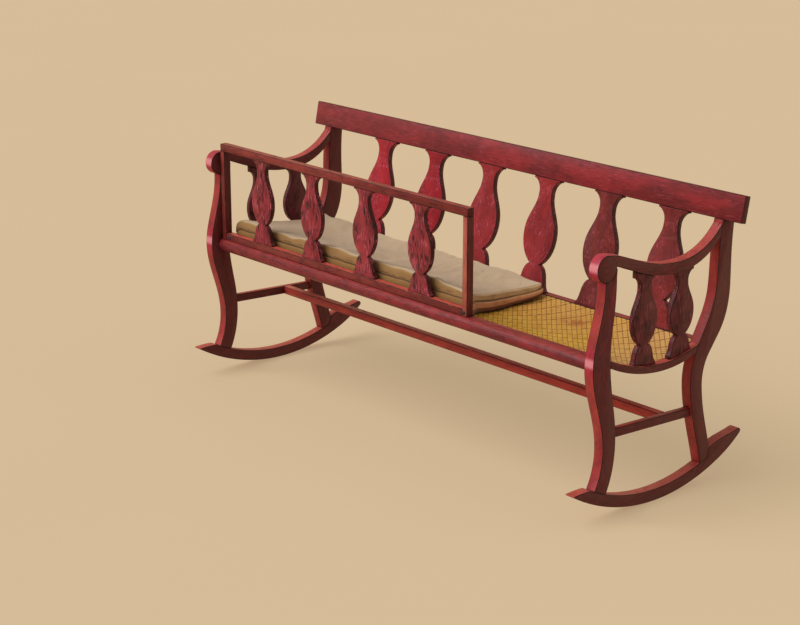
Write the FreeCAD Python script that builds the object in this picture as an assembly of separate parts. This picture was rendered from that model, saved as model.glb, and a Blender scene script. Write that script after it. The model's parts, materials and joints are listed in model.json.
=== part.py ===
import FreeCAD, Part
import math
import os

# Rocking bench with a lift-off cradle guard. Millimetres, +X along the bench, -Y is the front, +Z up.
# The origin is on the floor, midway between the rocker tips and midway between the bench ends.

# Overall sizes
bench_height = 788.0
frame_length = 1622.0
board_thickness = 31.0

# Rockers
rocker_radius = 603.0
rocker_depth = 32.0
rocker_centre_y = -8.0
rocker_front_y = -325.0
rocker_rear_y = 325.0
rocker_rear_tip_height = 111.0
rocker_tip_radius = 8.0
rocker_tip_angles = (-46.0, 100.0)
rocker_upturn_y = 240.0
rocker_toe_length = 60.0
rocker_toe_end = 4.0
rocker_toe_bulge = 2.0
rocker_toe_swell = 1.0
rocker_horn_rise = 24.0
rocker_horn_slant = 5.0
rocker_horn_sag = 5.0

# Seat frame and cane
seat_front_height = 430.0
seat_rear_height = 402.0
seat_dip = 27.0
seat_front_y = -209.0
seat_low_y = 5.0
seat_rear_y = 145.0
front_rail_height = 37.0
front_rail_depth = 43.0
rear_rail_height = 36.0
rear_rail_depth = 30.0
side_rail_height = 20.0
cane_thickness = 3.0
cane_lap = 4.0
cane_headroom = 8.0
brace_width = 32.0
brace_height = 20.0
brace_drop = 4.0
brace_spacing = 520.0

# Front posts: a sawn S that swells to a knee at the seat
front_post_top_depth = 42.0
front_post_knee_depth = 64.0
front_post_ankle_depth = 50.0
front_post_foot_depth = 54.0
front_post_top_y = -215.0
front_post_knee_y = -238.0
front_post_ankle_y = -206.0
front_post_foot_y = -236.0
front_post_foot_rise = 21.0
front_post_taper_share = 0.56
front_post_taper_set = 3.0
front_post_taper_swell = 2.0
knee_drop = 14.0
ankle_height = 243.0

# Rear posts: an upright stile that sweeps forward to the seat and down into the leg
rear_post_top_depth = 48.0
rear_post_stile_depth = 56.0
rear_post_bend_depth = 73.0
rear_post_ankle_depth = 46.0
rear_post_foot_depth = 42.0
rear_post_stile_y = 218.0
rear_post_ankle_y = 134.0
rear_post_foot_y = 184.0
rear_post_foot_rise = 14.0
rear_post_shin_drop = 77.0
rear_post_shin_set = 18.0
rear_post_calf_drop = 70.0
rear_post_calf_swell = 5.0
rear_post_bend_rise = 28.0
rear_post_bend_set = 54.0
rear_post_stile_shares = (0.34, 0.65)
rear_post_stile_swell = 4.0
rear_post_head_set = 20.0
rear_post_head_drop = 14.0

# Back
back_lean = 11.5
crest_overhang = 55.0
crest_height = 72.0
crest_thickness = 20.0
crest_set = 2.0
crest_pin_size = 8.0
crest_pin_length = 36.0
crest_pin_socket = 12.0
back_baluster_count = 6
back_baluster_spacing = 232.0
back_baluster_shift = 58.0
back_baluster_width = 118.0
back_baluster_thickness = 16.0

# Arms
arm_scroll_radius = 35.0
arm_scroll_y = -229.0
arm_scroll_height = 666.0
arm_dip = 28.0
arm_low_y = 52.0
arm_depth = 29.0
arm_brow_run = 43.0
arm_brow_drop = 8.0
arm_throat_run = 20.0
arm_throat_rise = 6.0
arm_quarter_set = 15.0
arm_quarter_rise = 26.0
arm_under_run = 35.0
arm_under_rises = (37.0, 13.0)
arm_sweep_run_shares = (0.36, 0.69)
arm_sweep_rise_shares = (0.11, 0.42)
arm_baluster_width = 90.0
arm_baluster_thickness = 16.0
arm_baluster_front_y = -73.0
arm_baluster_rear_y = 69.0

# Stretchers
side_stretcher_height = 24.0
side_stretcher_width = 18.0
side_stretcher_front_height = 237.0
side_stretcher_rear_height = 223.0
long_stretcher_size = 24.0
long_stretcher_y = 23.0

# Cradle guard
guard_length = 1092.0
guard_height = 298.0
guard_depth = 23.0
guard_end_gap = 6.0
guard_set = 4.5
guard_top_rail_height = 23.0
guard_bottom_rail_height = 21.0
guard_stile_width = 19.0
guard_baluster_count = 4
guard_baluster_spacing = 234.0
guard_baluster_width = 96.0
guard_baluster_thickness = 14.0
guard_peg_diameter = 16.0
guard_peg_length = 27.0
guard_peg_inset = 36.0
guard_peg_socket = 12.0
guard_peg_clearance = 0.3
guard_peg_end_gap = 1.0

# Mattress
mattress_length = 1120.0
mattress_front_thickness = 66.0
mattress_rear_thickness = 46.0
mattress_crown = 8.0
mattress_crown_share = 0.8
mattress_end_steps = ((0.0, 0.6, 1.0), (1.0, 1.0, 0.0))
mattress_side_draw = 10.0
mattress_end_draw = 30.0
mattress_clearance = 2.0

# Joints and sawing
outline_tolerance = 0.4
cut_overrun = 10.0
joint_clearance = 0.15
tenon_thickness = 10.0
tenon_length = 16.0
tenon_share = 0.5
shoulder_reach = 10.0
square_reach = 1.0
foot_tenon_width = 22.0
scroll_tenon_width = 14.0
scroll_tenon_reach = 8.0
rail_tenon_set = 8.0
short_tenon = 9.0
baluster_tenon_share = 0.45

# Outline of every flat sawn baluster, as shares of its half width and of its height
cap_share = 0.86
neck = (0.42, 0.86)
throat = (0.525, 0.76)
upper_bulb = (0.88, 0.62)
bulb = (1.0, 0.50)
lower_bulb = (0.84, 0.35)
waist = (0.33, 0.235)
shoulder = (0.66, 0.17)
skirt = (0.78, 0.0765)
foot_share = 0.98
bracket_bend = (0.35, 0.7)
cap_edge = 6.0
cap_step = 5.0
foot_edge = 4.0

half_frame = frame_length / 2
crest_length = frame_length + 2 * crest_overhang
post_inner_x = half_frame - board_thickness
board_centre_x = half_frame - board_thickness / 2
lean = math.radians(back_lean)
seat_low_height = seat_rear_height - seat_dip
arm_low_height = arm_scroll_height - arm_dip


def point(y, z, x=0.0):
    return FreeCAD.Vector(x, y, z)


def spline(points):
    curve = Part.BSplineCurve()
    curve.interpolate([point(y, z) for y, z in points])
    return curve


def arc_edges(curve):
    """The chain of tangent arcs that a smooth outline is sawn to."""
    return [arc.toShape() for arc in curve.toBiArcs(outline_tolerance)]


def line_edge(start, end):
    return Part.LineSegment(point(*start), point(*end)).toShape()


def arc_edge(start, middle, end):
    return Part.Arc(point(*start), point(*middle), point(*end)).toShape()


def board(edges, thickness, centre_x=0.0):
    """A flat board sawn to an outline in the side view."""
    solid = Part.Face(Part.Wire(edges)).extrude(FreeCAD.Vector(thickness, 0, 0))
    solid.translate(FreeCAD.Vector(centre_x - thickness / 2, 0, 0))
    return solid


def block(x_range, y_range, z_range, grow=0.0):
    corner = FreeCAD.Vector(x_range[0] - grow, y_range[0] - grow, z_range[0] - grow)
    sizes = [high - low + 2 * grow for low, high in (x_range, y_range, z_range)]
    return Part.makeBox(*sizes, corner)


def centred(middle, width):
    return (middle - width / 2, middle + width / 2)


def tenon_joint(tenoned, mortised, x_range, y_range, z_range, place=FreeCAD.Placement()):
    """Adds a tenon to one piece and cuts its mortise, a clearance larger, in the other."""
    tenon = block(x_range, y_range, z_range)
    mortise = block(x_range, y_range, z_range, joint_clearance)
    for solid in (tenon, mortise):
        solid.Placement = place.multiply(solid.Placement)
    return tenoned.fuse(tenon).removeSplitter(), mortised.cut(mortise)


def dowel(radius, length, start, direction):
    return Part.makeCylinder(radius, length, FreeCAD.Vector(*start), FreeCAD.Vector(*direction))


def on_curve(curve, axis, value):
    """The point of a curve where its y or z coordinate, rising along it, has the given value."""
    low = curve.FirstParameter
    high = curve.LastParameter
    for halving in range(40):
        middle = (low + high) / 2
        if getattr(curve.value(middle), axis) < value:
            low = middle
        else:
            high = middle
    return curve.value(low)


def circle_height(radius, y):
    """Height of a circle about the rocking centre at a distance y from the front of the frame."""
    return rocker_radius - math.sqrt(radius ** 2 - (y - rocker_centre_y) ** 2)


def largest(shape):
    """The piece that is left when the waste of a cut falls away."""
    return max(shape.Solids, key=lambda solid: solid.Volume)


def mirrored(solid):
    return solid.mirror(FreeCAD.Vector(0, 0, 0), FreeCAD.Vector(1, 0, 0))


def save(name, shape):
    shape.exportStep("parts/" + name + ".step")
    print(name, len(shape.Solids), round(shape.Volume), shape.isValid())


# The dished line that the seat frame and the cane follow: two arcs that meet level at the low point
def dish_radius(end_y, end_height):
    run = end_y - seat_low_y
    rise = end_height - seat_low_height
    return (run ** 2 + rise ** 2) / (2 * rise)


front_dish_radius = dish_radius(seat_front_y, seat_front_height - cane_thickness)
rear_dish_radius = dish_radius(seat_rear_y, seat_rear_height)


def seat_height(y):
    radius = front_dish_radius if y < seat_low_y else rear_dish_radius
    return seat_low_height + radius - math.sqrt(radius ** 2 - (y - seat_low_y) ** 2)


def seat_arc(start_y, end_y, drop, x=0.0):
    """One arc of the dished line, at a depth below it."""
    places = (start_y, (start_y + end_y) / 2, end_y)
    return Part.Arc(*[point(y, seat_height(y) - drop, x) for y in places]).toShape()


def dished_board(y_range, drop, depth, thickness, centre_x=0.0):
    """A board between two heights under the dished line."""
    front_y, rear_y = y_range
    low_drop = drop + depth
    front = line_edge((front_y, seat_height(front_y) - low_drop), (front_y, seat_height(front_y) - drop))
    rear = line_edge((rear_y, seat_height(rear_y) - drop), (rear_y, seat_height(rear_y) - low_drop))
    edges = [
        front, seat_arc(front_y, seat_low_y, drop), seat_arc(seat_low_y, rear_y, drop),
        rear, seat_arc(rear_y, seat_low_y, low_drop), seat_arc(seat_low_y, front_y, low_drop),
    ]
    return board(edges, thickness, centre_x)


# Rocker
horn_root_y = rear_post_foot_y + rear_post_foot_depth / 4
horn_foot_y = horn_root_y - rocker_horn_slant
top_radius = rocker_radius - rocker_depth


def make_rocker():
    toe_y = rocker_front_y + rocker_toe_length
    toe_end_y = rocker_front_y + rocker_toe_bulge
    front_tip = (toe_end_y, circle_height(rocker_radius, toe_end_y))
    front_top = (toe_end_y, front_tip[1] + rocker_toe_end)
    toe_nose = (rocker_front_y, front_tip[1] + rocker_toe_end / 2)
    toe = (toe_y, circle_height(top_radius, toe_y))
    upturn = (rocker_upturn_y, circle_height(rocker_radius, rocker_upturn_y))
    tip_centre_y = rocker_rear_y - rocker_tip_radius
    rear_tip, rear_top = [
        (tip_centre_y + rocker_tip_radius * math.cos(math.radians(angle)),
         rocker_rear_tip_height + rocker_tip_radius * math.sin(math.radians(angle)))
        for angle in rocker_tip_angles]
    horn_nose = (rocker_rear_y, rocker_rear_tip_height)
    horn_foot = (horn_foot_y, circle_height(top_radius, horn_foot_y))
    horn_root = (horn_root_y, horn_foot[1] + rocker_horn_rise)
    slope = math.atan2(rocker_upturn_y - rocker_centre_y, rocker_radius - upturn[1])
    chord_y = rear_tip[0] - upturn[0]
    chord_z = rear_tip[1] - upturn[1]
    turn = math.atan2(chord_z, chord_y) - slope
    sag = math.hypot(chord_y, chord_z) / 2 * math.tan(turn / 2)
    normal = math.atan2(chord_z, chord_y) - math.pi / 2
    upturn_middle = (
        upturn[0] + chord_y / 2 + sag * math.cos(normal),
        upturn[1] + chord_z / 2 + sag * math.sin(normal),
    )
    bottom_middle = (rocker_centre_y, 0.0)
    top_middle = (rocker_centre_y, rocker_depth)
    horn = spline([
        horn_root,
        ((horn_root[0] * 2 + rear_top[0]) / 3, (horn_root[1] + rear_top[1]) / 2),
        ((horn_root[0] + rear_top[0] * 3) / 4, rear_top[1] - rocker_horn_sag),
        rear_top,
    ])
    toe_top = spline([
        front_top,
        ((front_top[0] + toe[0]) / 2, (front_top[1] + toe[1]) / 2 + rocker_toe_swell),
        toe,
    ])
    edges = [
        arc_edge(front_top, toe_nose, front_tip),
        arc_edge(front_tip, bottom_middle, upturn),
        arc_edge(upturn, upturn_middle, rear_tip),
        arc_edge(rear_tip, horn_nose, rear_top),
    ]
    edges += reversed(arc_edges(horn))
    edges += [line_edge(horn_root, horn_foot), arc_edge(horn_foot, top_middle, toe)]
    edges += reversed(arc_edges(toe_top))
    return board(edges, board_thickness, board_centre_x)


def band_edges(first, second):
    """A closed outline of two curves that run the same way, joined by lines at their ends."""
    start = Part.LineSegment(second.StartPoint, first.StartPoint).toShape()
    end = Part.LineSegment(first.EndPoint, second.EndPoint).toShape()
    return arc_edges(first) + [end] + arc_edges(second)[::-1] + [start]


def sawn_post(stations):
    """A post, and its two smooth edges through stations of (height, middle y, depth)."""
    front = spline([(y - depth / 2, z) for z, y, depth in stations])
    rear = spline([(y + depth / 2, z) for z, y, depth in stations])
    return board(band_edges(front, rear), board_thickness, board_centre_x), front, rear


# Back line: the front faces of the back balusters lie on it
back_foot_y = seat_rear_y + cane_thickness
crest_foot_height = bench_height - crest_height * math.cos(lean)
crest_front_y = back_foot_y + (crest_foot_height - seat_rear_height) * math.tan(lean) - crest_set
back_place = FreeCAD.Placement(
    FreeCAD.Vector(0, back_foot_y, seat_rear_height),
    FreeCAD.Rotation(FreeCAD.Vector(1, 0, 0), -back_lean),
)
crest_place = FreeCAD.Placement(
    FreeCAD.Vector(0, crest_front_y, crest_foot_height),
    FreeCAD.Rotation(FreeCAD.Vector(1, 0, 0), -back_lean),
)


def placed(solid, place):
    solid.Placement = place.multiply(solid.Placement)
    return solid


def make_front_post():
    knee_height = seat_front_height - knee_drop
    upper_rise = arm_scroll_height - knee_height
    return sawn_post([
        (circle_height(rocker_radius, front_post_foot_y) + front_post_foot_rise,
         front_post_foot_y, front_post_foot_depth),
        (ankle_height, front_post_ankle_y, front_post_ankle_depth),
        (knee_height, front_post_knee_y, front_post_knee_depth),
        (knee_height + upper_rise * front_post_taper_share,
         front_post_top_y - front_post_taper_set, front_post_top_depth + front_post_taper_swell),
        (arm_scroll_height, front_post_top_y, front_post_top_depth),
    ])


def make_rear_post():
    top_y = crest_front_y + rear_post_head_set
    head_rise = crest_height - rear_post_head_drop
    stile_rise = crest_foot_height - seat_rear_height
    low_stile, high_stile = [seat_rear_height + stile_rise * share for share in rear_post_stile_shares]
    swell = rear_post_stile_swell
    return sawn_post([
        (circle_height(rocker_radius, rear_post_foot_y) + rear_post_foot_rise,
         rear_post_foot_y, rear_post_foot_depth),
        (ankle_height - rear_post_shin_drop, rear_post_ankle_y + rear_post_shin_set, rear_post_ankle_depth),
        (ankle_height, rear_post_ankle_y, rear_post_ankle_depth),
        (seat_rear_height - rear_post_calf_drop,
         rear_post_ankle_y, rear_post_ankle_depth + rear_post_calf_swell),
        (seat_rear_height + rear_post_bend_rise,
         rear_post_ankle_y + rear_post_bend_set, rear_post_bend_depth),
        (low_stile, rear_post_stile_y, rear_post_stile_depth + swell),
        (high_stile, rear_post_stile_y + swell, rear_post_stile_depth - swell),
        (crest_foot_height, top_y, rear_post_top_depth),
        (crest_foot_height + head_rise * math.cos(lean),
         top_y + head_rise * math.sin(lean), rear_post_top_depth),
    ])


def make_arm():
    rear_y = crest_front_y + crest_set
    rear_run = rear_y - arm_low_y
    rear_rise = crest_foot_height - arm_low_height
    quarter_y = (arm_scroll_y + arm_low_y) / 2 - arm_quarter_set
    brow_height = arm_scroll_height + arm_scroll_radius
    near_rise, far_rise = arm_under_rises
    sweep = [
        (arm_low_y + rear_run * run, arm_low_height + rear_rise * rise)
        for run, rise in zip(arm_sweep_run_shares, arm_sweep_rise_shares)]
    top = spline([
        (arm_scroll_y, brow_height),
        (arm_scroll_y + arm_brow_run, brow_height - arm_brow_drop),
        (quarter_y, arm_low_height + arm_quarter_rise),
        (arm_low_y, arm_low_height),
        *sweep,
        (rear_y, crest_foot_height),
    ])
    bottom = spline([
        (arm_scroll_y + arm_throat_run, arm_scroll_height + arm_throat_rise),
        (quarter_y - arm_under_run, arm_low_height + near_rise - arm_depth),
        (quarter_y + arm_under_run, arm_low_height + far_rise - arm_depth),
        (arm_low_y, arm_low_height - arm_depth),
        *[(y, z - arm_depth) for y, z in sweep],
        (rear_y, crest_foot_height - arm_depth),
    ])
    band = board(band_edges(top, bottom), board_thickness, board_centre_x)
    scroll = dowel(
        arm_scroll_radius, board_thickness,
        (post_inner_x, arm_scroll_y, arm_scroll_height), (1, 0, 0),
    )
    return band.fuse(scroll).removeSplitter(), bottom


def flat_spline(points):
    curve = Part.BSplineCurve()
    curve.interpolate(points)
    return curve


def sawn_baluster(height, width, thickness, head=0.0, heel=0.0):
    """A flat vase-shaped baluster standing on z = 0, its front face on y = 0, centred on x = 0."""
    half = width / 2

    def at(station):
        return FreeCAD.Vector(half * station[0], 0, height * station[1])

    def corner(x, z):
        return FreeCAD.Vector(x, 0, z)

    cap_x = half * cap_share
    cap_z = height - cap_edge
    foot_x = half * foot_share
    bracket = corner(cap_x - cap_step, cap_z)
    neck_point = at(neck)
    bracket_middle = corner(
        neck_point.x + (bracket.x - neck_point.x) * bracket_bend[0],
        neck_point.z + (bracket.z - neck_point.z) * bracket_bend[1])
    vase = flat_spline([at(station) for station in (neck, throat, upper_bulb, bulb, lower_bulb, waist)])
    bell = flat_spline([at(waist), at(shoulder), at(skirt), corner(foot_x, foot_edge)])
    half_outline = [
        Part.LineSegment(corner(cap_x, height + head), corner(cap_x, cap_z)),
        Part.LineSegment(corner(cap_x, cap_z), bracket),
        Part.Arc(bracket, bracket_middle, neck_point),
        Part.LineSegment(corner(foot_x, foot_edge), corner(foot_x, -heel)),
    ]
    right = [curve.toShape() for curve in half_outline] + arc_edges(vase) + arc_edges(bell)
    left = [mirrored(edge) for edge in right]
    top = Part.LineSegment(corner(-cap_x, height + head), corner(cap_x, height + head)).toShape()
    bottom = Part.LineSegment(corner(-foot_x, -heel), corner(foot_x, -heel)).toShape()
    outline = Part.Wire(Part.__sortEdges__(right + left + [top, bottom]))
    return Part.Face(outline).extrude(FreeCAD.Vector(0, thickness, 0))


# End frames, built at the right and mirrored to the left
rocker = make_rocker()
front_post, _, front_post_rear = make_front_post()
rear_post, rear_post_front, _ = make_rear_post()
arm, arm_bottom = make_arm()

crest = placed(
    block((-crest_length / 2, crest_length / 2), (0, crest_thickness), (0, crest_height)), crest_place)
crest_notch = placed(
    block((0, crest_length / 2), (-crest_height, crest_thickness), (0, crest_height * 2)), crest_place)

front_post = largest(front_post.cut(rocker).cut(arm))
rear_post = largest(rear_post.cut(rocker).cut(crest_notch))
arm = largest(arm.cut(rear_post).cut(crest_notch))

tenon_x = centred(board_centre_x, tenon_thickness)


def foot_tenon_z(y):
    """A tenon's reach from the foot of a post into the rocker under it."""
    foot_seat = circle_height(top_radius, y)
    return (foot_seat - tenon_length, foot_seat + shoulder_reach)


front_post, rocker = tenon_joint(
    front_post, rocker, tenon_x, centred(front_post_foot_y, foot_tenon_width),
    foot_tenon_z(front_post_foot_y))
rear_foot_tenon_y = rear_post_foot_y - rocker_horn_slant
rear_post, rocker = tenon_joint(
    rear_post, rocker, tenon_x, centred(rear_foot_tenon_y, foot_tenon_width),
    foot_tenon_z(rear_foot_tenon_y))
front_post, arm = tenon_joint(
    front_post, arm, tenon_x, centred(front_post_top_y, scroll_tenon_width),
    (arm_scroll_height - arm_scroll_radius - scroll_tenon_reach, arm_scroll_height - scroll_tenon_reach))
arm_end_height = crest_foot_height - arm_depth / 2
arm_end_y = on_curve(rear_post_front, "z", arm_end_height).y
arm, rear_post = tenon_joint(
    arm, rear_post, tenon_x, (arm_end_y - shoulder_reach, arm_end_y + tenon_length),
    centred(arm_end_height, arm_depth * tenon_share))

# Side seat rail between the posts, with the cane's rebate along its inner edge
side_front_y = on_curve(front_post_rear, "z", seat_front_height - side_rail_height).y
side_rear_y = on_curve(rear_post_front, "z", seat_rear_height - side_rail_height).y
side_rail = dished_board(
    (seat_front_y, seat_rear_y), 0, side_rail_height, board_thickness, board_centre_x)
side_rail = largest(side_rail.cut(front_post).cut(rear_post))
side_front_z = seat_height(side_front_y) - side_rail_height / 2
side_rear_z = seat_height(side_rear_y) - side_rail_height / 2
side_rail, front_post = tenon_joint(
    side_rail, front_post, tenon_x, (side_front_y - tenon_length, side_front_y + shoulder_reach),
    centred(side_front_z, side_rail_height * tenon_share))
side_rail, rear_post = tenon_joint(
    side_rail, rear_post, tenon_x, (side_rear_y - shoulder_reach, side_rear_y + tenon_length),
    centred(side_rear_z, side_rail_height * tenon_share))

# Cane, let into the frame by its own thickness
cane_half = post_inner_x + cane_lap
cane = dished_board((seat_front_y, seat_rear_y), 0, cane_thickness, 2 * cane_half)
cane_pocket = dished_board(
    (seat_front_y, seat_rear_y), -cane_headroom, cane_headroom + cane_thickness + joint_clearance,
    2 * (cane_half + joint_clearance))
for side in (-1, 1):
    corner_x = centred(side * (post_inner_x + board_thickness), 2 * (board_thickness + joint_clearance))
    side_front_gap = (seat_front_y - cut_overrun, side_front_y + cane_lap)
    side_rear_gap = (side_rear_y - cane_lap, seat_rear_y + cut_overrun)
    for y_range in (side_front_gap, side_rear_gap):
        cane = cane.cut(block(corner_x, y_range, (seat_low_height, seat_front_height + cut_overrun)))
side_rail = side_rail.cut(cane_pocket)

# Front seat rail with its rounded nose
nose_radius = front_rail_height / 2
rail_back_y = seat_front_y + cane_lap
rail_front_y = rail_back_y - front_rail_depth
nose_y = rail_front_y + nose_radius
rail_bottom = seat_front_height - front_rail_height
front_rail = board([
    arc_edge((nose_y, seat_front_height), (rail_front_y, rail_bottom + nose_radius), (nose_y, rail_bottom)),
    line_edge((nose_y, rail_bottom), (rail_back_y, rail_bottom)),
    line_edge((rail_back_y, rail_bottom), (rail_back_y, seat_front_height)),
    line_edge((rail_back_y, seat_front_height), (nose_y, seat_front_height)),
], 2 * post_inner_x)
front_rail = front_rail.cut(cane_pocket)

# Rear seat rail
rear_rail_front_y = seat_rear_y - cane_lap
rear_rail_bottom = seat_rear_height - rear_rail_height
rear_rail = block(
    (-post_inner_x, post_inner_x), (rear_rail_front_y, rear_rail_front_y + rear_rail_depth),
    (rear_rail_bottom, seat_rear_height))
rear_rail = rear_rail.cut(cane_pocket)

rail_tenon_x = (post_inner_x - square_reach, post_inner_x + tenon_length)
front_tenon_y = (rail_front_y + rail_tenon_set, rail_front_y + rail_tenon_set + tenon_thickness)
front_tenon_z = centred(rail_bottom + front_rail_height / 2, front_rail_height * tenon_share)
front_rail, front_post = tenon_joint(front_rail, front_post, rail_tenon_x, front_tenon_y, front_tenon_z)
rear_tenon_y = centred(rear_rail_front_y + rear_rail_depth / 2, tenon_thickness)
rear_tenon_z = centred(rear_rail_bottom + rear_rail_height / 2, rear_rail_height * tenon_share)
rear_rail, rear_post = tenon_joint(rear_rail, rear_post, rail_tenon_x, rear_tenon_y, rear_tenon_z)
front_rail = front_rail.fuse(mirrored(front_rail)).removeSplitter()
rear_rail = rear_rail.fuse(mirrored(rear_rail)).removeSplitter()

# Curved braces under the cane
brace_y = (rail_back_y, rear_rail_front_y)
brace_top_drop = cane_thickness + brace_drop
brace_middle_drop = brace_top_drop + brace_height / 2
braces = []
for side in (-1, 1):
    brace_x = side * brace_spacing / 2
    brace = dished_board((seat_front_y, seat_rear_y), brace_top_drop, brace_height, brace_width, brace_x)
    brace = brace.common(block((-half_frame, half_frame), brace_y, (0, bench_height)))
    brace_tenon_x = centred(brace_x, brace_width * tenon_share)
    front_z, rear_z = [
        centred(seat_height(y) - brace_middle_drop, brace_height * tenon_share) for y in brace_y]
    brace, front_rail = tenon_joint(
        brace, front_rail, brace_tenon_x, (brace_y[0] - short_tenon, brace_y[0] + square_reach), front_z)
    brace, rear_rail = tenon_joint(
        brace, rear_rail, brace_tenon_x, (brace_y[1] - square_reach, brace_y[1] + short_tenon), rear_z)
    braces.append(brace)

# Stretchers: one along each side, joined by a long one
stretcher_front_y = on_curve(front_post_rear, "z", side_stretcher_front_height).y
stretcher_rear_y = on_curve(rear_post_front, "z", side_stretcher_rear_height).y
stretcher_fall = side_stretcher_rear_height - side_stretcher_front_height
stretcher_slope = stretcher_fall / (stretcher_rear_y - stretcher_front_y)


def stretcher_top(y):
    return side_stretcher_front_height + stretcher_slope * (y - stretcher_front_y)


stretcher_ends = (stretcher_front_y - cut_overrun, stretcher_rear_y + cut_overrun)
stretcher_corners = [(y, stretcher_top(y)) for y in stretcher_ends]
stretcher_corners += [(y, stretcher_top(y) - side_stretcher_height) for y in reversed(stretcher_ends)]
stretcher_edges = [
    line_edge(stretcher_corners[index - 1], stretcher_corners[index]) for index in range(4)]
side_stretcher = board(stretcher_edges, side_stretcher_width, board_centre_x)
side_stretcher = largest(side_stretcher.cut(front_post).cut(rear_post))
stretcher_tenon_z = [
    centred(stretcher_top(y) - side_stretcher_height / 2, side_stretcher_height * tenon_share)
    for y in (stretcher_front_y, stretcher_rear_y)]
side_stretcher, front_post = tenon_joint(
    side_stretcher, front_post, tenon_x,
    (stretcher_front_y - tenon_length, stretcher_front_y + shoulder_reach), stretcher_tenon_z[0])
side_stretcher, rear_post = tenon_joint(
    side_stretcher, rear_post, tenon_x,
    (stretcher_rear_y - shoulder_reach, stretcher_rear_y + tenon_length), stretcher_tenon_z[1])

long_half = board_centre_x - side_stretcher_width / 2
long_top = stretcher_top(long_stretcher_y)
long_stretcher = block(
    (-long_half, long_half), centred(long_stretcher_y, long_stretcher_size),
    (long_top - long_stretcher_size, long_top))
long_stretcher, side_stretcher = tenon_joint(
    long_stretcher, side_stretcher, (long_half - square_reach, long_half + short_tenon),
    centred(long_stretcher_y, tenon_thickness),
    centred(long_top - long_stretcher_size / 2, long_stretcher_size * tenon_share))
long_stretcher = long_stretcher.fuse(mirrored(long_stretcher)).removeSplitter()


# Balusters of the back
def add_baluster_tenons(baluster, receivers, width, thickness, height, place):
    """Tenons at the head and the foot of a baluster, with their mortises in two rails."""
    head_rail, foot_rail = receivers
    across = centred(0, width * baluster_tenon_share)
    through = centred(thickness / 2, thickness * tenon_share)
    baluster, head_rail = tenon_joint(
        baluster, head_rail, across, through, (height - square_reach, height + short_tenon), place)
    baluster, foot_rail = tenon_joint(
        baluster, foot_rail, across, through, (-short_tenon, square_reach), place)
    return baluster, head_rail, foot_rail


back_height = (crest_foot_height - seat_rear_height) / math.cos(lean)
back_skew = (crest_thickness + crest_set) * math.sin(lean)
back_balusters = []
for index in range(back_baluster_count):
    x = back_baluster_shift + back_baluster_spacing * (index - (back_baluster_count - 1) / 2)
    place = FreeCAD.Placement(FreeCAD.Vector(x, 0, 0), FreeCAD.Rotation()).multiply(back_place)
    baluster = sawn_baluster(
        back_height, back_baluster_width, back_baluster_thickness,
        head=back_skew, heel=back_skew + crest_set)
    baluster = largest(placed(baluster, place).cut(crest).cut(rear_rail))
    baluster, crest, rear_rail = add_baluster_tenons(
        baluster, (crest, rear_rail), back_baluster_width, back_baluster_thickness, back_height, place)
    back_balusters.append(baluster)

# Balusters under the arms, in the plane of the end frame
turn_to_side = FreeCAD.Rotation(FreeCAD.Vector(0, 0, 1), 90)
arm_balusters = []
for y in (arm_baluster_front_y, arm_baluster_rear_y):
    foot_z = seat_height(y)
    head_z = on_curve(arm_bottom, "y", y).z
    place = FreeCAD.Placement(
        FreeCAD.Vector(board_centre_x + arm_baluster_thickness / 2, y, foot_z), turn_to_side)
    height = head_z - foot_z
    baluster = sawn_baluster(
        height, arm_baluster_width, arm_baluster_thickness, head=arm_depth * tenon_share, heel=short_tenon)
    baluster = largest(placed(baluster, place).cut(arm).cut(side_rail))
    baluster, arm, side_rail = add_baluster_tenons(
        baluster, (arm, side_rail), arm_baluster_width, arm_baluster_thickness, height, place)
    arm_balusters.append(baluster)

# A square wooden pin from behind through each stile into the crest
crest_pin_start = crest_thickness - crest_pin_socket
crest_pin = placed(
    block(
        centred(board_centre_x, crest_pin_size), (crest_pin_start, crest_pin_start + crest_pin_length),
        centred(crest_height / 2, crest_pin_size)),
    crest_place)
crest = crest.cut(crest_pin).cut(mirrored(crest_pin))
rear_post = rear_post.cut(crest_pin)

# Cradle guard
guard_left = -post_inner_x + guard_end_gap
guard_right = guard_left + guard_length
guard_x = (guard_left + guard_right) / 2
guard_front_y = nose_y - guard_set
guard_y = (guard_front_y, guard_front_y + guard_depth)
guard_middle_y = sum(guard_y) / 2
guard_top = seat_front_height + guard_height
guard_rail_z = (seat_front_height, seat_front_height + guard_bottom_rail_height)
guard_head_z = guard_top - guard_top_rail_height
guard_top_rail = block((guard_left, guard_right), guard_y, (guard_head_z, guard_top))
guard_bottom_rail = block(
    (guard_left + guard_stile_width, guard_right - guard_stile_width), guard_y, guard_rail_z)
guard_stiles = []
guard_rail_middle = sum(guard_rail_z) / 2
for left, into in ((guard_left, 1), (guard_right - guard_stile_width, -1)):
    stile = block((left, left + guard_stile_width), guard_y, (seat_front_height, guard_head_z))
    stile_x = left + guard_stile_width / 2
    stile, guard_top_rail = tenon_joint(
        stile, guard_top_rail, centred(stile_x, guard_stile_width * tenon_share),
        centred(guard_middle_y, tenon_thickness), (guard_head_z - square_reach, guard_head_z + short_tenon))
    guard_bottom_rail, stile = tenon_joint(
        guard_bottom_rail, stile, centred(stile_x + into * guard_stile_width / 2, 2 * short_tenon),
        centred(guard_middle_y, tenon_thickness),
        centred(guard_rail_middle, guard_bottom_rail_height * tenon_share))
    guard_stiles.append(stile)

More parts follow.
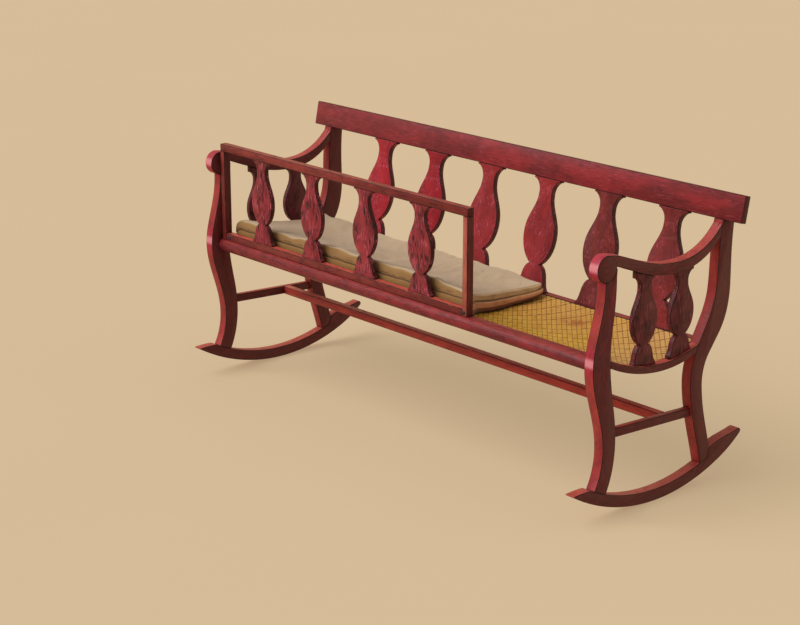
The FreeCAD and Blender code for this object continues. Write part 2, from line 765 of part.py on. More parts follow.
guard_baluster_height = guard_head_z - guard_rail_z[1]
guard_balusters = []
for index in range(guard_baluster_count):
    x = guard_x + guard_baluster_spacing * (index - (guard_baluster_count - 1) / 2)
    place = FreeCAD.Placement(
        FreeCAD.Vector(x, guard_middle_y - guard_baluster_thickness / 2, guard_rail_z[1]), FreeCAD.Rotation())
    baluster = placed(
        sawn_baluster(guard_baluster_height, guard_baluster_width, guard_baluster_thickness), place)
    baluster, guard_top_rail, guard_bottom_rail = add_baluster_tenons(
        baluster, (guard_top_rail, guard_bottom_rail), guard_baluster_width, guard_baluster_thickness,
        guard_baluster_height, place)
    guard_balusters.append(baluster)

# Guard pegs, and the holes in the front rail that they drop into
guard_pegs = []
for peg_x in (guard_left + guard_peg_inset, guard_right - guard_peg_inset):
    radius = guard_peg_diameter / 2
    peg = dowel(
        radius, guard_peg_length + guard_peg_socket,
        (peg_x, guard_middle_y, seat_front_height - guard_peg_length), (0, 0, 1))
    guard_bottom_rail = guard_bottom_rail.cut(peg)
    hole = dowel(
        radius + guard_peg_clearance, guard_peg_length + guard_peg_end_gap,
        (peg_x, guard_middle_y, seat_front_height), (0, 0, -1))
    front_rail = front_rail.cut(hole)
    guard_pegs.append(peg)


# Mattress: crowned, its sides and ends drawn in, lying in the dish of the cane
def mattress_section(x, share, inset):
    """A closed outline across the mattress: dished below, crowned above, with round sides."""
    front_y = seat_front_y + mattress_clearance + inset
    rear_y = seat_rear_y - cane_lap - mattress_clearance - inset
    rise = joint_clearance * 2
    slope = (mattress_rear_thickness - mattress_front_thickness) / (rear_y - front_y)
    lower = [front_y + mattress_side_draw, seat_low_y, rear_y - mattress_side_draw]
    crown = [0.0, mattress_crown_share, 1.0, mattress_crown_share, 0.0]
    span = [lower[0], (lower[0] + lower[1]) / 2, lower[1], (lower[1] + lower[2]) / 2, lower[2]]
    depths = [
        share * (mattress_front_thickness + slope * (y - front_y) + mattress_crown * swell)
        for y, swell in zip(span, crown)]
    roof = [point(y, seat_height(y) + rise + depth, x) for y, depth in zip(span, depths)]
    floor = [point(y, seat_height(y) + rise, x) for y in lower]
    front_side = Part.Arc(floor[0], point(front_y, (floor[0].z + roof[0].z) / 2, x), roof[0])
    rear_side = Part.Arc(roof[-1], point(rear_y, (floor[-1].z + roof[-1].z) / 2, x), floor[-1])
    return Part.Wire([
        front_side.toShape(),
        Part.Arc(*roof[:3]).toShape(), Part.Arc(*roof[2:]).toShape(),
        rear_side.toShape(),
        seat_arc(lower[2], lower[1], -rise, x), seat_arc(lower[1], lower[0], -rise, x),
    ])


mattress_left = -post_inner_x + mattress_clearance
mattress_right = mattress_left + mattress_length
sections = []
for travel, share, inset in mattress_end_steps:
    x = mattress_left + mattress_end_draw * travel
    sections.append(mattress_section(x, share, mattress_side_draw * inset))
for travel, share, inset in reversed(mattress_end_steps):
    x = mattress_right - mattress_end_draw * travel
    sections.append(mattress_section(x, share, mattress_side_draw * inset))
mattress = Part.makeLoft(sections, True, True)

os.makedirs("parts", exist_ok=True)
save("crest_rail", crest)
save("front_seat_rail", front_rail)
save("rear_seat_rail", rear_rail)
save("cane_seat", cane)
save("long_stretcher", long_stretcher)
for name, brace in zip(("seat_brace_left", "seat_brace_right"), braces):
    save(name, brace)
for name, right in (
        ("rocker", rocker), ("front_post", front_post), ("rear_post", rear_post), ("arm", arm),
        ("side_seat_rail", side_rail), ("side_stretcher", side_stretcher),
        ("arm_baluster_front", arm_balusters[0]), ("arm_baluster_rear", arm_balusters[1])):
    save(name + "_right", right)
    save(name + "_left", mirrored(right))
for index, baluster in enumerate(back_balusters, 1):
    save("back_baluster_%d" % index, baluster)
save("crest_pins", Part.makeCompound([crest_pin, mirrored(crest_pin)]))
save("guard_top_rail", guard_top_rail)
save("guard_bottom_rail", guard_bottom_rail)
for name, stile in zip(("guard_stile_left", "guard_stile_right"), guard_stiles):
    save(name, stile)
for index, baluster in enumerate(guard_balusters, 1):
    save("guard_baluster_%d" % index, baluster)
save("guard_pegs", Part.makeCompound(guard_pegs))
save("mattress", mattress)
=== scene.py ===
import bpy
import bmesh
import json
import math
import random
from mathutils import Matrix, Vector, noise
from mathutils.bvhtree import BVHTree


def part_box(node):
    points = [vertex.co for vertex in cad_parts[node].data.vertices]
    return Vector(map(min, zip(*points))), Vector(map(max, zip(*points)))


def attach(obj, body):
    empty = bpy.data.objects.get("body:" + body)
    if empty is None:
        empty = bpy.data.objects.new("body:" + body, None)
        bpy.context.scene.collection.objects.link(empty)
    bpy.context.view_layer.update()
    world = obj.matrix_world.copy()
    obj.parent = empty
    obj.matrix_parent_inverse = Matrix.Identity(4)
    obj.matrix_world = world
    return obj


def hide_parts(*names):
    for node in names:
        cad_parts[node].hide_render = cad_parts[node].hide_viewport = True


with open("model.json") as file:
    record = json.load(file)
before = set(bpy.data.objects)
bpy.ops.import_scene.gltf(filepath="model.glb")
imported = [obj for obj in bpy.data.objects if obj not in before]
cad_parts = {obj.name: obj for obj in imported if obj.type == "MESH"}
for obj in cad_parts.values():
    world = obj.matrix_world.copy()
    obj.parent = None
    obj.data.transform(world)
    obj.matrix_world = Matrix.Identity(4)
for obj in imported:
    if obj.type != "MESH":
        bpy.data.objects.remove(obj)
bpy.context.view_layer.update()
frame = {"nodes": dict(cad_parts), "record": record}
random.seed(12)

# Camera, fitted to the picture's perspective view
camera_place = (3.8431, -3.5811, 1.9350)
camera_down = 17.060
camera_turn = 48.579
camera_lens = 85.94
camera_sensor = 36.0
camera_reach = 200.0

# Light and floor
sun_strength = 2.3
sun_spread = 50.0
sun_from = (-0.42, -0.78, 0.95)
sky_strength = 0.42
floor_size = 60.0
floor_glow = 0.55

# Wood: eased edges, the arm's rear tenon, the scroll's centre, the painted highlights on the scrolls and
# knees, and the pins at the guard's foot
edge_round = 0.0016
peg_round = 0.0008
edge_steps = 3
edge_angle = 28.0
flat_angle = 0.6
smooth_angle = 40.0
merge_distance = 0.00001
tenon_show = 0.0005
tenon_width = (0.7880, 0.8030)
tenon_depth = (0.1900, 0.2075)
tenon_foot = 0.6900
scroll_centre = (0.0, -0.229, 0.666)
scroll_highlight = (0.0, -0.264, 0.672)
knee_highlight = (0.0, -0.270, 0.428)
pin_radius = 0.0070
pin_rise = 0.0025
pin_sides = 20
pin_rings = 5
pin_places = (-0.7386, 0.3053)

# Cane, woven slantwise: single strands one way, bands of strands side by side the other way
cane_pitch = 0.0134
cane_band = 3
cane_share = 0.965
band_share = 0.99
cane_wander = 0.015
cane_edges = (0.0006, 0.0010)
cane_lines = (0.0022, 0.0046)
cane_seam = 0.0002
cane_strip = 0.0009
cane_wave = 0.0006
cane_end = 0.7795
cane_rim = 0.0015
cane_spare = 0.004
cane_stain = (0.427, 0.070, 0.0)
stain_reach = 0.042
speck_fade = (-0.02, 0.10)
binding_rows = 24
binding_sink = 0.0008
binding_gap = (0.0002, 0.0003)

# Mattress: three places from front to rear, with the height of its top over the seat there and that of the
# line between its layers
pad_rows = ((-0.197, 0.0735, 0.0400), (0.005, 0.0640, 0.0310), (0.129, 0.0540, 0.0260))
pad_voxel = 0.006
pad_pressure = 4.0
pad_highest = 0.4960
layer_gap = 0.0006
layer_overlap = 0.0030
seam_wave = 0.0034
# Height of the lower layer's darker bottom band, painted shade under the mattress
base_depth = 0.0160
corner_left = 0.036
corner_right = 0.014

# Its right end, drawn in behind the front corner, thinner there and curled up behind
end_front = 0.300
end_waist = 0.205
end_rear = 0.251
end_taper = 0.160
end_thinning = 0.35
end_pinch = 0.25
end_curl = 0.010
bend_from = -0.25

# Its left end, rounded off, and the rise and the lump beside it
left_taper = 0.066
left_thinning = 0.90
left_sink = 0.017
left_rise = 0.011
lump_places = (0.66, 0.765, 0.79)

# Its two layers: depth, insets, widths of the rounded rims, how far each may swell, how far its right end is
# set back and how lumpy it is
lower_layer = dict(
    depth=0.031, inset_x=0.006, inset_y=0.001, top_edge=0.002, low_edge=0.006, cap=0.002, setback=0.0,
    rumple=0.0010)
upper_layer = dict(
    depth=0.036, inset_x=0.0, inset_y=0.0, top_edge=0.006, low_edge=0.003, cap=0.006, setback=0.004,
    rumple=0.0055)

# Its cloth, for the simulation
cloth_mass = 0.15
cloth_stiffness = 12.0
cloth_bending = 0.4
cloth_frames = 20

# Its stitches
stitch_radius = 0.0008
stitch_ends = (0.040, 0.060)
stitch_lengths = (0.014, 0.042)
stitch_gaps = (0.008, 0.030)
stitch_rise = 0.0065
stitch_wander = 0.0012
stitch_runs = 8


def srgb(red, green, blue):
    """Linear colour from 0 to 255 values."""
    def one(value):
        value = value / 255
        return value / 12.92 if value <= 0.04045 else ((value + 0.055) / 1.055) ** 2.4
    return (one(red), one(green), one(blue), 1.0)


# Old paint: colours of the front, its darker patches, the upper faces, lighter as painted light, and the
# faces towards the ends, darker as painted shade, and how strong its dark and pale brush strokes are; the
# shaded tone is darker all over, as painted shade on the arm balusters
maroon = srgb(90, 36, 37)
deep_maroon = srgb(70, 28, 32)
tones = {
    "frame": dict(
        body=srgb(166, 58, 52), deep=srgb(140, 44, 44), top=srgb(186, 84, 70), side=maroon,
        dark=0.30, pale=0.08),
    "handled": dict(
        body=srgb(168, 58, 54), deep=srgb(144, 44, 46), top=srgb(176, 74, 66), side=maroon,
        dark=0.30, pale=0.08),
    "crest": dict(
        body=srgb(150, 42, 48), deep=srgb(116, 36, 40), top=srgb(120, 44, 42), side=deep_maroon,
        dark=0.32, pale=0.20),
    "seat_rail": dict(
        body=srgb(140, 42, 46), deep=srgb(112, 36, 40), top=srgb(150, 52, 50), side=maroon,
        dark=0.45, pale=0.10),
    "vivid": dict(
        body=srgb(176, 38, 50), deep=srgb(148, 34, 46), top=srgb(160, 50, 52), side=deep_maroon,
        dark=0.25, pale=0.55),
    "crimson": dict(
        body=srgb(160, 28, 42), deep=srgb(132, 28, 38), top=srgb(150, 46, 48), side=deep_maroon,
        dark=0.30, pale=0.60),
    "russet": dict(
        body=srgb(158, 44, 48), deep=srgb(138, 38, 44), top=srgb(150, 46, 48), side=deep_maroon,
        dark=0.25, pale=0.50),
    # The stretcher's upper faces are brightened as painted light, against the seat's shadow over them
    "stretcher": dict(
        body=srgb(180, 62, 54), deep=srgb(158, 52, 48), top=srgb(232, 112, 96), side=maroon,
        dark=0.25, pale=0.05),
    "umber": dict(
        body=srgb(124, 44, 42), deep=srgb(100, 36, 36), top=srgb(130, 48, 44), side=deep_maroon,
        dark=0.35, pale=0.35),
    "brown": dict(
        body=srgb(140, 44, 44), deep=srgb(114, 38, 38), top=srgb(140, 50, 46), side=deep_maroon,
        dark=0.35, pale=0.35),
    "guard": dict(
        body=srgb(138, 50, 44), deep=srgb(112, 40, 37), top=srgb(160, 70, 60), side=maroon,
        dark=0.45, pale=0.05),
    "guard_foot": dict(
        body=srgb(130, 50, 44), deep=srgb(106, 40, 38), top=srgb(206, 88, 72), side=maroon,
        dark=0.45, pale=0.05),
    "guard_upright": dict(
        body=srgb(186, 98, 82), deep=srgb(160, 78, 68), top=srgb(160, 70, 60), side=srgb(102, 50, 46),
        dark=0.35, pale=0.05),
    "dashed": dict(
        body=srgb(152, 48, 56), deep=srgb(122, 36, 46), top=srgb(150, 50, 54), side=deep_maroon,
        dark=1.00, pale=0.75),
    "shaded": dict(
        body=srgb(104, 36, 40), deep=srgb(84, 30, 36), top=srgb(120, 44, 44), side=srgb(98, 36, 41),
        dark=0.90, pale=0.32),
}
# Marks in the paint: ink and rose brush strokes, pink about the scroll and knee, the pale pink of the painted
# highlights on their fronts, and grime on the edges
paint_marks = dict(
    ink=srgb(48, 14, 20), rose=srgb(214, 104, 124), pink=srgb(178, 40, 66), painted_highlight=srgb(222, 138, 148),
    grime=srgb(52, 18, 21))
wood_colors = dict(pale=srgb(196, 154, 106), grain=srgb(150, 106, 68))
iron_colors = dict(dark=srgb(24, 20, 26), worn=srgb(54, 46, 54))
# Cane: the under colours are painted shade on the strands' edges and undersides, and the line colour is
# painted shade in the gaps between strands
cane_colors = dict(
    dull=srgb(206, 156, 46), bright=srgb(226, 182, 62), rear=srgb(204, 150, 74), right=srgb(208, 160, 100),
    fibre=srgb(146, 98, 34), soil=srgb(168, 112, 44), stain=srgb(160, 84, 40), speck=srgb(92, 56, 24),
    line=srgb(124, 78, 26), under=srgb(84, 50, 18), under_pale=srgb(122, 80, 30))

# Cloth: colours of the top, its sloping rim, the front, the right end and the underside; the rim is painted
# shade on the ticking, the right end is painted light and the underside is painted shade
cloths = {
    "ticking": dict(
        top=srgb(203, 176, 144), rim=srgb(176, 146, 106), side=srgb(162, 126, 80), end=srgb(216, 182, 138),
        under=srgb(110, 80, 44), shift=2.0),
    "lower_cloth": dict(
        top=srgb(120, 88, 52), rim=srgb(140, 104, 58), side=srgb(158, 116, 64), end=srgb(219, 156, 113),
        under=srgb(76, 46, 36), shift=6.0),
    # The lower layer's darker bottom band: painted shade under the mattress
    "base_shade_cloth": dict(
        top=srgb(90, 58, 40), rim=srgb(120, 84, 50), side=srgb(148, 106, 58), end=srgb(128, 76, 58),
        under=srgb(76, 46, 36), shift=8.0),
}
cloth_marks = dict(
    cloud=srgb(186, 164, 134), blot=srgb(132, 118, 116), rub=srgb(128, 92, 48), thread=srgb(150, 126, 92))
stitch_colors = dict(dark=srgb(74, 58, 30), pale=srgb(104, 82, 42))
sky_color = (1.0, 0.98, 0.95, 1.0)
wall_color = srgb(213, 188, 152)
floor_colors = dict(dark=srgb(150, 133, 108), pale=srgb(154, 138, 114), glow=srgb(214, 186, 148))


# Materials
class Nodes:
    """A short way to build a material's node tree."""

    def __init__(self, name):
        self.material = bpy.data.materials.new(name)
        self.material.use_nodes = True
        self.tree = self.material.node_tree
        self.shader = self.tree.nodes["Principled BSDF"]
        self.place = self.add("ShaderNodeTexCoord").outputs["Object"]

    def add(self, kind):
        return self.tree.nodes.new(kind)

    def link(self, source, target):
        self.tree.links.new(source, target)

    def noise(self, scale, detail=2.0, rough=0.5, shift=0.0, bend=0.0):
        mapping = self.add("ShaderNodeMapping")
        mapping.inputs["Scale"].default_value = scale
        mapping.inputs["Location"].default_value = (shift, shift * 1.7, shift * 2.3)
        self.link(self.place, mapping.inputs["Vector"])
        texture = self.add("ShaderNodeTexNoise")
        texture.inputs["Scale"].default_value = 1.0
        texture.inputs["Detail"].default_value = detail
        texture.inputs["Roughness"].default_value = rough
        texture.inputs["Distortion"].default_value = bend
        self.link(mapping.outputs["Vector"], texture.inputs["Vector"])
        return texture.outputs["Fac"]

    def ramp(self, value, low, high, low_value=0.0, high_value=1.0):
        """A smooth step from one value to another while the input goes from low to high."""
        node = self.add("ShaderNodeMapRange")
        node.interpolation_type = "SMOOTHSTEP"
        node.inputs["From Min"].default_value = low
        node.inputs["From Max"].default_value = high
        node.inputs["To Min"].default_value = low_value
        node.inputs["To Max"].default_value = high_value
        self.link(value, node.inputs["Value"])
        return node.outputs["Result"]

    def math(self, operation, *sources):
        node = self.add("ShaderNodeMath")
        node.operation = operation
        for source, target in zip(sources, node.inputs):
            if isinstance(source, float):
                target.default_value = source
            else:
                self.link(source, target)
        return node.outputs[0]

    def multiply(self, first, second):
        return self.math("MULTIPLY", first, second)

    def opposite(self, value):
        return self.math("SUBTRACT", 1.0, value)

    def mix(self, factor, first, second):
        node = self.add("ShaderNodeMix")
        node.data_type = "RGBA"
        self.link(factor, node.inputs["Factor"])
        for source, target in ((first, node.inputs["A"]), (second, node.inputs["B"])):
            if isinstance(source, tuple):
                target.default_value = source
            else:
                self.link(source, target)
        return node.outputs["Result"]

    def tint(self, color, mask, amount, second):
        """The colour with a second one over it where the mask is 1, by the amount."""
        return self.mix(self.multiply(mask, amount), color, second)

    def part_of(self, vector, axis):
        split = self.add("ShaderNodeSeparateXYZ")
        self.link(vector, split.inputs["Vector"])
        return split.outputs[axis.upper()]

    def normal(self, axis):
        geometry = self.add("ShaderNodeNewGeometry")
        return self.part_of(geometry.outputs["Normal"], axis)

    def facing(self, axis, low, high):
        """How far a surface faces along an axis, from 0 to 1."""
        return self.ramp(self.normal(axis), low, high)

    def sideways(self, low, high):
        """How far a surface faces either end of the bench."""
        return self.ramp(self.math("ABSOLUTE", self.normal("x")), low, high)

    def reach(self, axis, low, high):
        """0 before one place along an axis and 1 after another."""
        return self.ramp(self.part_of(self.place, axis), low, high)

    def near(self, centre, keep, inner, outer):
        """1 within the inner distance of a place and 0 past the outer one, in the kept axes only."""
        kept = self.add("ShaderNodeVectorMath")
        kept.operation = "MULTIPLY"
        kept.inputs[1].default_value = keep
        self.link(self.place, kept.inputs[0])
        distance = self.add("ShaderNodeVectorMath")
        distance.operation = "DISTANCE"
        distance.inputs[1].default_value = tuple(c * k for c, k in zip(centre, keep))
        self.link(kept.outputs["Vector"], distance.inputs[0])
        return self.ramp(distance.outputs["Value"], inner, outer, 1.0, 0.0)

    def lines(self, direction, pitch, width):
        """1 on evenly spaced lines square to a direction in plan, half a pitch from the origin."""
        measure = self.add("ShaderNodeVectorMath")
        measure.operation = "DOT_PRODUCT"
        measure.inputs[1].default_value = direction
        self.link(self.place, measure.inputs[0])
        pitches = self.multiply(measure.outputs["Value"], 1 / pitch)
        cell = self.math("FRACT", self.math("ADD", pitches, 0.5))
        distance = self.math("SUBTRACT", 0.5, self.math("ABSOLUTE", self.math("SUBTRACT", cell, 0.5)))
        return self.ramp(distance, 0.2 * width / pitch, 0.8 * width / pitch, 1.0, 0.0)

    def bump(self, height, strength, distance):
        node = self.add("ShaderNodeBump")
        node.inputs["Strength"].default_value = strength
        node.inputs["Distance"].default_value = distance
        self.link(height, node.inputs["Height"])
        self.link(node.outputs["Normal"], self.shader.inputs["Normal"])

    def color(self, output):
        self.link(output, self.shader.inputs["Base Color"])

    def roughness(self, value, low, high):
        self.link(self.ramp(value, 0.0, 1.0, low, high), self.shader.inputs["Roughness"])

    def set(self, socket, value):
        self.shader.inputs[socket].default_value = value


def along(axis, across, length):
    """Noise scale for marks that run along one axis: across them and along them, per metre."""
    return tuple(length if name == axis else across for name in "xyz")


# Brush marks in old paint: their noise, and the noise values where a mark starts and is full
brush_marks = {
    "patches": dict(across=20, length=7, detail=3, rough=0.55, shift=0, starts=0.36, full=0.64),
    "fine": dict(across=300, length=22, detail=2, rough=0.60, shift=3, starts=0.46, full=0.74),
    "dashes": dict(across=300, length=36, detail=1, rough=0.50, shift=17, starts=0.46, full=0.58),
    "masses": dict(across=34, length=22, detail=1, rough=0.50, shift=19, starts=0.40, full=0.56),
    "strokes": dict(across=430, length=42, detail=1, rough=0.50, shift=7, starts=0.54, full=0.68, bend=0.2),
    "clusters": dict(across=20, length=26, detail=1, rough=0.50, shift=11, starts=0.36, full=0.62),
}


def brush(m, name, axis, shift):
    """Brush marks of one kind along an axis, 1 where a mark is full and 0 between the marks."""
    mark = brush_marks[name]
    texture = m.noise(
        along(axis, mark["across"], mark["length"]), mark["detail"], mark["rough"], shift + mark["shift"],
        mark.get("bend", 0.0))
    return m.ramp(texture, mark["starts"], mark["full"])


def scroll_ring(m):
    """A thin ring round the arm's scroll."""
    outside = m.near(scroll_centre, (0, 1, 1), 0.0330, 0.0350)
    inside = m.near(scroll_centre, (0, 1, 1), 0.0300, 0.0320)
    return m.multiply(outside, m.opposite(inside))


def paint(tone, axis, shift):
    """Old brushed paint: patches, dark and pale brush strokes along the board, upper faces in painted light,
    end faces in painted shade.
    """
    kind = tones[tone]
    m = Nodes(tone + "_paint_" + axis)
    color = m.mix(brush(m, "patches", axis, shift), kind["deep"], kind["body"])
    if tone == "crest":
        color = m.tint(color, m.reach("x", 0.05, -0.75), 0.55, kind["deep"])
    # Painted light: the upper faces are lighter
    color = m.tint(color, m.facing("z", 0.50, 0.90), 0.90, kind["top"])
    if tone == "handled":
        pink = paint_marks["pink"]
        color = m.tint(color, m.near(scroll_centre, (0, 1, 1), 0.036, 0.056), 0.85, pink)
        color = m.tint(color, m.near(knee_highlight, (0, 1, 1), 0.018, 0.050), 0.70, pink)
    # Painted shade: the faces towards the ends are darker
    side = m.sideways(0.60, 0.85)
    color = m.mix(side, color, kind["side"])
    fine = brush(m, "fine", axis, shift)
    color = m.tint(color, fine, 0.45, kind["deep"])
    dark = m.multiply(brush(m, "dashes", axis, shift), brush(m, "masses", axis, shift))
    color = m.tint(color, dark, kind["dark"], paint_marks["ink"])
    pale = m.multiply(brush(m, "strokes", axis, shift), brush(m, "clusters", axis, shift))
    color = m.tint(color, pale, kind["pale"], paint_marks["rose"])
    if tone == "handled":
        color = m.tint(color, m.multiply(scroll_ring(m), side), 0.55, paint_marks["ink"])
        # Painted highlights: pale pink spots on the front of the scroll and the knee
        for spot in (scroll_highlight, knee_highlight):
            painted_highlight = m.multiply(m.near(spot, (0, 1, 1), 0.004, 0.017), m.facing("y", -0.3, -0.7))
            color = m.tint(color, painted_highlight, 0.85, paint_marks["painted_highlight"])
    m.color(color)
    m.roughness(fine, 0.46, 0.62)
    m.set("Specular IOR Level", 0.25)
    m.bump(m.noise(along(axis, 420, 16), 3, 0.6, shift + 5), 0.35, 0.0006)
    return m.material


def worn_edge(tone, axis, shift):
    """Grime along the eased edges, with paint worn bright here and there in the upper faces' colour, which
    carries painted light.
    """
    m = Nodes(tone + "_edge_" + axis)
    bright = m.ramp(m.noise(along(axis, 60, 22), 2, 0.5, shift), 0.62, 0.70)
    m.color(m.mix(m.multiply(bright, 0.5), paint_marks["grime"], tones[tone]["top"]))
    m.roughness(bright, 0.55, 0.45)
    m.set("Specular IOR Level", 0.25)
    return m.material


def bare_wood():
    m = Nodes("bare_wood")
    grain = m.ramp(m.noise(along("z", 260, 12), 3, 0.6, 2.0), 0.40, 0.66)
    m.color(m.mix(grain, wood_colors["pale"], wood_colors["grain"]))
    m.roughness(grain, 0.55, 0.70)
    m.bump(grain, 0.3, 0.0003)
    return m.material


finishes = {}


def finish(tone, axis):
    """The paint and the edge material of a tone along an axis, each made once."""
    if (tone, axis) not in finishes:
        shift = 3.1 * len(finishes)
        finishes[tone, axis] = (paint(tone, axis, shift), worn_edge(tone, axis, shift))
    return finishes[tone, axis]


# Wooden pieces: each is the CAD board with its edges eased and its paint worn there
def body_of(node):
    """The body that a CAD node belongs to."""
    for body, members in frame["record"]["behaviour"]["bodies"].items():
        if node in members:
            return body
    return "root"


def flush_tenon(shape):
    """Draws the arm's rear tenon back to its shoulder, where it would stand proud of the sloping top."""
    near_by = 0.0001
    highest = max(vertex.co.z for vertex in shape.verts)
    outer = max(abs(vertex.co.x) for vertex in shape.verts)
    outside = [vertex.co for vertex in shape.verts if abs(vertex.co.x) > outer - near_by]
    shoulder = max((place.z, place.y) for place in outside)[1]
    for vertex in shape.verts:
        if vertex.co.z > highest - near_by and vertex.co.y < shoulder:
            vertex.co.y = shoulder - tenon_show


def in_joint(edge):
    """Whether an edge lies in the mouth of the joint between an arm and its rear post."""
    return all(
        tenon_width[0] < abs(vertex.co.x) < tenon_width[1] and tenon_depth[0] < vertex.co.y < tenon_depth[1]
        and vertex.co.z > tenon_foot for vertex in edge.verts)


def apply_modifiers(piece):
    """Turns a piece's modifiers into its mesh, shaded smooth but for its sharp edges."""
    bpy.context.view_layer.update()
    graph = bpy.context.evaluated_depsgraph_get()
    final = bpy.data.meshes.new_from_object(piece.evaluated_get(graph))
    piece.modifiers.clear()
    old = piece.data
    piece.data = final
    bpy.data.meshes.remove(old)
    final.set_sharp_from_angle(angle=math.radians(smooth_angle))
    for polygon in final.polygons:
        polygon.use_smooth = True


def board_mesh(node):
    """The CAD board's mesh with its flat faces joined and the edges to ease marked."""
    mesh = frame["nodes"][node].data.copy()
    mesh.name = node + "_eased"
    shape = bmesh.new()
    shape.from_mesh(mesh)
    bmesh.ops.remove_doubles(shape, verts=shape.verts, dist=merge_distance)
    bmesh.ops.dissolve_limit(
        shape, angle_limit=math.radians(flat_angle), verts=shape.verts, edges=shape.edges)
    if node in ("arm_right", "arm_left"):
        flush_tenon(shape)
    weight = shape.edges.layers.float.new("bevel_weight_edge")
    for edge in shape.edges:
        if edge.calc_face_angle(0.0) > math.radians(edge_angle) and not in_joint(edge):
            edge[weight] = 1.0
    shape.to_mesh(mesh)
    shape.free()
    return mesh


def eased(node, materials, width=edge_round):
    """Stands an eased board in for a CAD node, with one material on its faces and one on its edges."""
    mesh = board_mesh(node)
    mesh.materials.clear()
    for material in materials:
        mesh.materials.append(material)
    for polygon in mesh.polygons:
        polygon.material_index = 0
    piece = bpy.data.objects.new(node + "_board", mesh)
    bpy.context.scene.collection.objects.link(piece)
    bevel = piece.modifiers.new("ease", "BEVEL")
    bevel.width = width
    bevel.segments = edge_steps
    bevel.limit_method = "WEIGHT"
    bevel.use_clamp_overlap = False
    bevel.material = 1
    bevel.harden_normals = True
    apply_modifiers(piece)
    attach(piece, body_of(node))
    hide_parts(node)


# Start of a node's name, its tone and the axis of its grain: the first start that fits is taken
board_finish = (
    ("crest_rail", "crest", "x"),
    ("crest_pins", "brown", "y"),
    ("front_seat_rail", "seat_rail", "x"),
    ("rear_seat_rail", "seat_rail", "x"),
    ("long_stretcher", "stretcher", "x"),
    ("seat_brace", "frame", "y"),
    ("rocker", "frame", "y"),
    ("front_post", "handled", "z"),
    ("rear_post", "frame", "z"),
    ("arm_baluster", "shaded", "z"),
    ("arm", "handled", "y"),
    ("side_seat_rail", "frame", "y"),
    ("side_stretcher", "frame", "y"),
    ("back_baluster_1", "vivid", "z"),
    ("back_baluster_2", "crimson", "z"),
    ("back_baluster_3", "russet", "z"),
    ("back_baluster_4", "russet", "z"),
    ("back_baluster_5", "umber", "z"),
    ("back_baluster", "brown", "z"),
    ("guard_top_rail", "guard", "x"),
    ("guard_bottom_rail", "guard_foot", "x"),
    ("guard_stile_left", "guard", "z"),
    ("guard_stile_right", "guard_upright", "z"),
    ("guard_baluster", "dashed", "z"),
)
for node in sorted(frame["nodes"]):
    for start, tone, axis in board_finish:
        if node.startswith(start):
            eased(node, finish(tone, axis))
            break
wood = bare_wood()
eased("guard_pegs", (wood, wood), peg_round)


# Dish of the seat, read from the cane's upper face
def read_dish():
    """The lowest point of the dish, and the radii of its front and rear arcs."""
    heights = {}
    for vertex in frame["nodes"]["cane_seat"].data.vertices:
        key = round(vertex.co.y, 5)
        heights[key] = max(heights.get(key, -1.0), vertex.co.z)
    rows = sorted(heights.items())
    low_y, low_z = min(rows, key=lambda row: row[1])

    def radius(end):
        run = end[0] - low_y
        rise = end[1] - low_z
        return (run * run + rise * rise) / (2 * rise)
    return (low_y, low_z), radius(rows[0]), radius(rows[-1])


dish_low, dish_front_radius, dish_rear_radius = read_dish()


def dish(y):
    """Height of the seat at a place from front to rear."""
    radius = dish_front_radius if y < dish_low[0] else dish_rear_radius
    return dish_low[1] + radius - math.sqrt(max(radius ** 2 - (y - dish_low[0]) ** 2, 0.0))


def dish_up(y):
    """The direction square to the seat there."""
    step = 0.001
    slope = (dish(y + step) - dish(y - step)) / (2 * step)
    return Vector((0.0, -slope, 1.0)).normalized()


# Woven cane
half_root = math.sqrt(0.5)


def cane_material(name, shift):
    """Cane, redder behind and paler at the right, with fibres, soil, a stain and painted shade in the lines
    between strands.
    """
    m = Nodes(name)
    tone = m.ramp(m.noise((34, 34, 20), 2, 0.5, shift), 0.34, 0.68)
    color = m.mix(tone, cane_colors["dull"], cane_colors["bright"])
    color = m.tint(color, m.reach("y", -0.12, 0.12), 0.9, cane_colors["rear"])
    color = m.tint(color, m.reach("x", 0.52, 0.74), 0.75, cane_colors["right"])
    fibre = m.ramp(m.noise((420, 420, 420), 2, 0.6, shift + 2), 0.48, 0.72)
    color = m.tint(color, fibre, 0.35, cane_colors["fibre"])
    soil = m.ramp(m.noise((15, 15, 15), 2, 0.6, shift + 9), 0.52, 0.72)
    color = m.tint(color, soil, 0.35, cane_colors["soil"])
    stain = m.near(cane_stain, (0.5, 1, 0), 0.0, stain_reach)
    blot = m.ramp(m.noise((50, 50, 50), 2, 0.5, 4.0), 0.30, 0.52)
    color = m.tint(color, m.multiply(stain, blot), 0.75, cane_colors["stain"])
    specks = m.ramp(m.noise((95, 95, 95), 1, 0.5, 8.0), 0.66, 0.71)
    close = m.opposite(m.reach("x", end_front + speck_fade[0], end_front + speck_fade[1]))
    color = m.tint(color, m.multiply(specks, close), 0.8, cane_colors["speck"])
    # Painted shade: dark lines where the gaps between the strands fall
    for side, pitch, width in (
            ((half_root, half_root, 0), cane_pitch, cane_lines[0]),
            ((-half_root, half_root, 0), cane_pitch * cane_band, cane_lines[1])):
        color = m.tint(color, m.lines(side, pitch, width), 0.70, cane_colors["line"])
    m.color(color)
    m.set("Roughness", 0.55)
    m.set("Specular IOR Level", 0.3)
    m.bump(fibre, 0.25, 0.0003)
    return m.material


